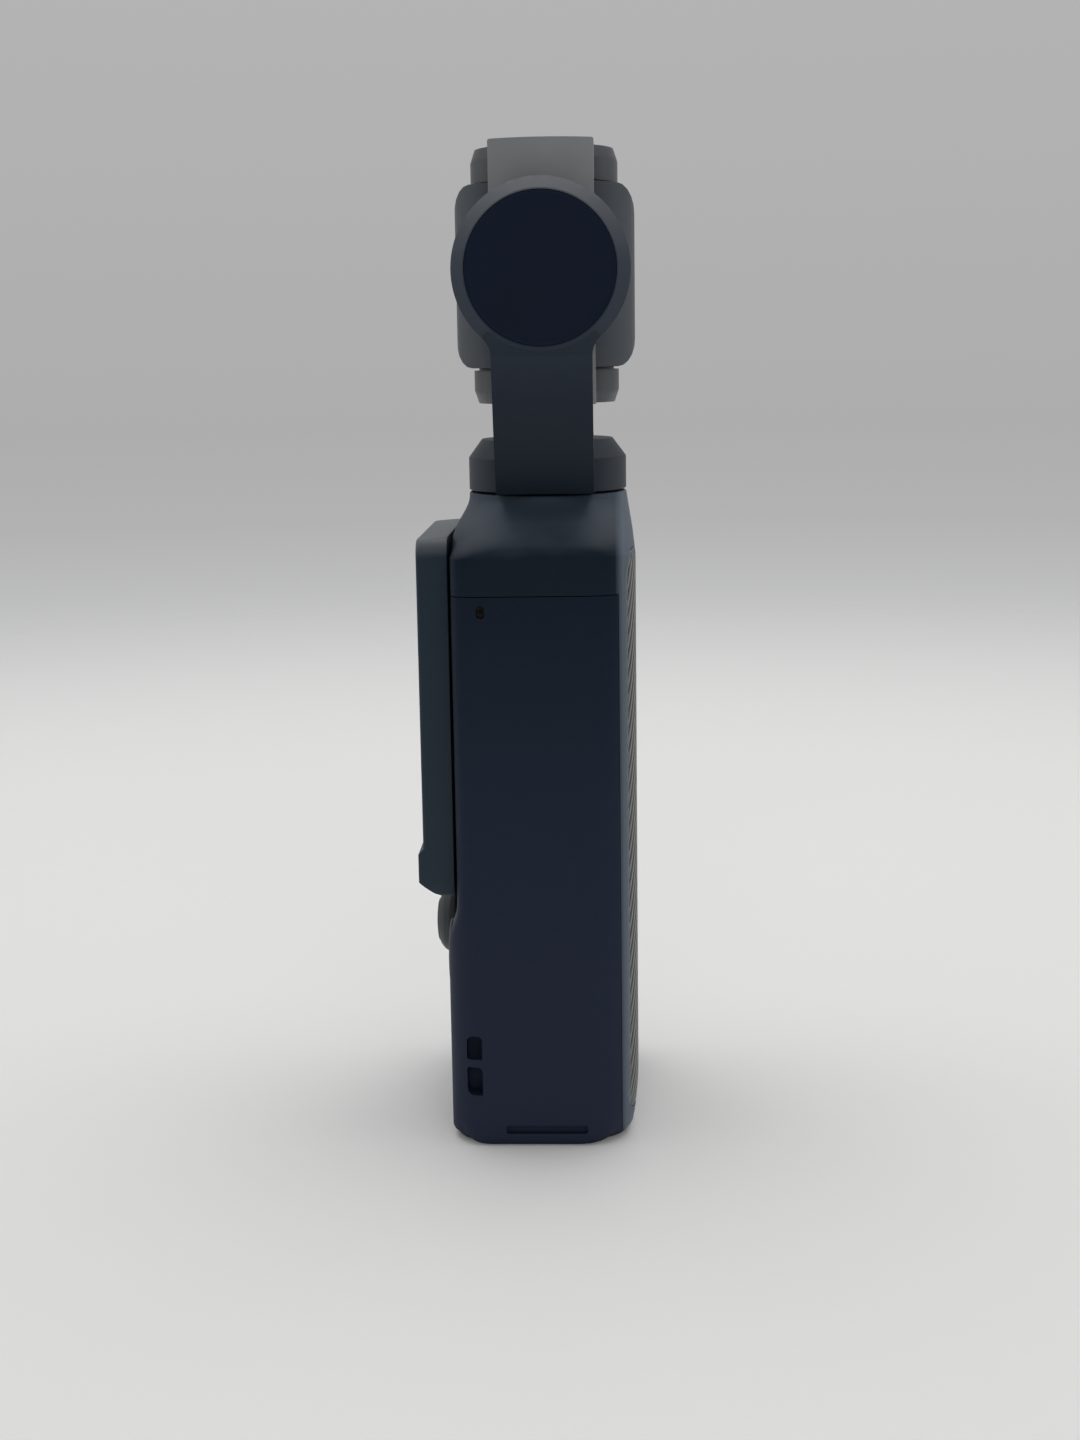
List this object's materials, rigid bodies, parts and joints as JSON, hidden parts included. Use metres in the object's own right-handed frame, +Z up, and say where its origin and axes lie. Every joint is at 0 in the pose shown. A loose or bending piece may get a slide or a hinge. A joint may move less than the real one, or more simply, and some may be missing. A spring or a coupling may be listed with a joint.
{
  "type": "pocket gimbal camera",
  "caption": "Slim upright hand grip with a turning touch screen, a joystick and a record button, and a small camera head carried on pan, roll and tilt motor axes.",
  "frame": {"origin": "on the pan axis, in the flat base plane", "axes": "+Z up, +X towards the ribbed front of the grip, -X the screen side, +Y the way the lens looks at rest"},
  "size_m": [0.0313, 0.0422, 0.14],
  "materials": {
    "case_plastic": "fine matt grain",
    "shoulder_plastic": "fine matt grain",
    "grip_plastic": "slanted ribs, satin",
    "base_plastic": "matt",
    "frame_alloy": "as cast",
    "battery_wrap": "shrink film",
    "board_green": "solder mask",
    "shield_tin": "tinned",
    "copper_sheet": "bare copper",
    "port_steel": "satin",
    "speaker_plastic": "matt",
    "mic_can": "gold flash",
    "lamp_plastic": "clear",
    "spring_steel": "polished",
    "screw_steel": "black oxide",
    "motor_steel": "stacked sheet",
    "coil_copper": "enamelled wire",
    "bearing_steel": "ground",
    "magnet_nickel": "nickel plate",
    "screen_plastic": "fine matt grain",
    "display": "black panel",
    "screen_glass": "polished",
    "button_plastic": "satin",
    "stick_plastic": "satin",
    "arm_paint": "matt paint",
    "housing_paint": "matt paint",
    "flex_film": "polyimide film",
    "disc_black": "smooth, dark",
    "yoke_paint": "matt paint",
    "head_plastic": "matt",
    "barrel_black": "black, fine threads",
    "lens_glass": "coated"
  },
  "bodies": {
    "handle": {"rear_shell": "case_plastic", "neck_shell": "shoulder_plastic", "grip_panel": "grip_plastic", "base_plate": "base_plastic", "chassis": "frame_alloy", "battery": "battery_wrap", "main_board": "board_green", "processor_shield": "shield_tin", "heat_spreader": "copper_sheet", "usb_port": "port_steel", "card_socket": "port_steel", "speaker": "speaker_plastic", "microphones": "mic_can", "control_board": "board_green", "record_switch": "port_steel", "joystick_switch": "port_steel", "joystick_housing": "frame_alloy", "status_lamp": "lamp_plastic", "screen_hinge_base": "spring_steel", "hinge_detent_spring": "spring_steel", "case_screws": "screw_steel", "pan_mount": "frame_alloy", "pan_stator": "motor_steel", "pan_coils": "coil_copper", "pan_bearings": "bearing_steel"},
    "screen": {"screen_housing": "screen_plastic", "display_panel": "display", "screen_glass": "screen_glass", "screen_hub": "frame_alloy", "hub_retainer": "spring_steel", "hub_screws": "screw_steel"},
    "record_key": {"record_button": "button_plastic"},
    "stick_base": {"joystick_plunger": "frame_alloy"},
    "stick_ring": {"joystick_cradle": "spring_steel"},
    "stick_top": {"joystick_cap": "stick_plastic"},
    "arm": {"pan_housing": "housing_paint", "pan_magnets": "magnet_nickel", "pan_shaft": "bearing_steel", "pan_arm": "arm_paint", "arm_flex": "flex_film", "arm_screws": "screw_steel", "roll_cover": "disc_black", "roll_stator": "motor_steel", "roll_coils": "coil_copper", "roll_bearings": "bearing_steel"},
    "yoke": {"yoke": "yoke_paint", "roll_rotor": "motor_steel", "roll_magnets": "magnet_nickel", "tilt_cover": "head_plastic", "tilt_stator": "motor_steel", "tilt_coils": "coil_copper", "tilt_bearings": "bearing_steel"},
    "head": {"head_rear_shell": "head_plastic", "head_front_shell": "head_plastic", "tilt_rotor": "motor_steel", "tilt_magnets": "magnet_nickel", "tilt_pin": "bearing_steel", "lens_barrel": "barrel_black", "lens_group": "lens_glass", "sensor_board": "board_green"}
  },
  "joints": [
    {"name": "pan_turn", "type": "hinge", "parent": "handle", "child": "arm", "pos_m": [0, 0, 0.0923], "axis": [0, 0, 1], "range_deg": [-148, 145]},
    {"name": "roll_turn", "type": "hinge", "parent": "arm", "child": "yoke", "pos_m": [0, -0.0138, 0.1226], "axis": [0, 1, 0], "range_deg": [-130, 150]},
    {"name": "tilt_turn", "type": "hinge", "parent": "yoke", "child": "head", "pos_m": [0, 0.00175, 0.1226], "axis": [0, 0, 1], "range_deg": [-70, 70]},
    {"name": "screen_turn", "type": "hinge", "parent": "handle", "child": "screen", "pos_m": [-0.0135, 0, 0.0608], "axis": [1, 0, 0], "range_deg": [0, 90]},
    {"name": "record_press", "type": "slide", "parent": "handle", "child": "record_key", "axis": [1, 0, 0], "range_m": [0, 0.0004], "stiffness_N_per_m": 2500},
    {"name": "stick_press", "type": "slide", "parent": "handle", "child": "stick_base", "axis": [1, 0, 0], "range_m": [0, 0.0003], "stiffness_N_per_m": 2500},
    {"name": "stick_up_down", "type": "hinge", "parent": "stick_base", "child": "stick_ring", "pos_m": [-0.01194, 0.0085, 0.025], "axis": [0, 1, 0], "range_deg": [-6, 6], "stiffness_Nm_per_rad": 0.05},
    {"name": "stick_side", "type": "hinge", "parent": "stick_ring", "child": "stick_top", "pos_m": [-0.01194, 0.0085, 0.025], "axis": [0, 0, 1], "range_deg": [-6, 6], "stiffness_Nm_per_rad": 0.05}
  ]
}
